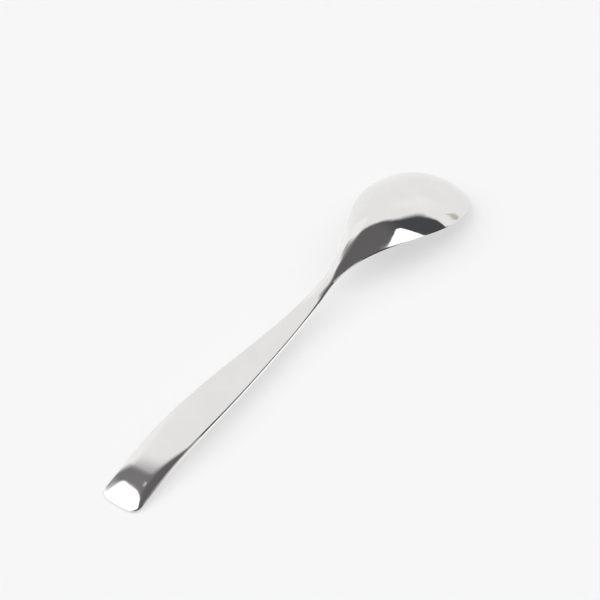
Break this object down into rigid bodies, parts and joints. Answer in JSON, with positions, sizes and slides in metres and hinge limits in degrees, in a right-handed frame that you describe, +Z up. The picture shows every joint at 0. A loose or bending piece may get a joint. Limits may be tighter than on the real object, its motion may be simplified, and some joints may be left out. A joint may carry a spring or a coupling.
{
  "type": "tablespoon",
  "caption": "Mirror-polished steel tablespoon lying face down: egg-shaped bowl, slim neck and a handle that tapers from a broad pillowed end.",
  "frame": {"origin": "on the table, under the middle of the spoon's length and width as it lies face down", "axes": "+X from the handle's end to the bowl's tip, +Z up out of the bowl's back"},
  "size_m": [0.1998, 0.037, 0.0222],
  "materials": {
    "steel": "mirror-polished stainless steel"
  },
  "bodies": {
    "root": {"bowl": "steel", "handle": "steel"}
  },
  "joints": []
}
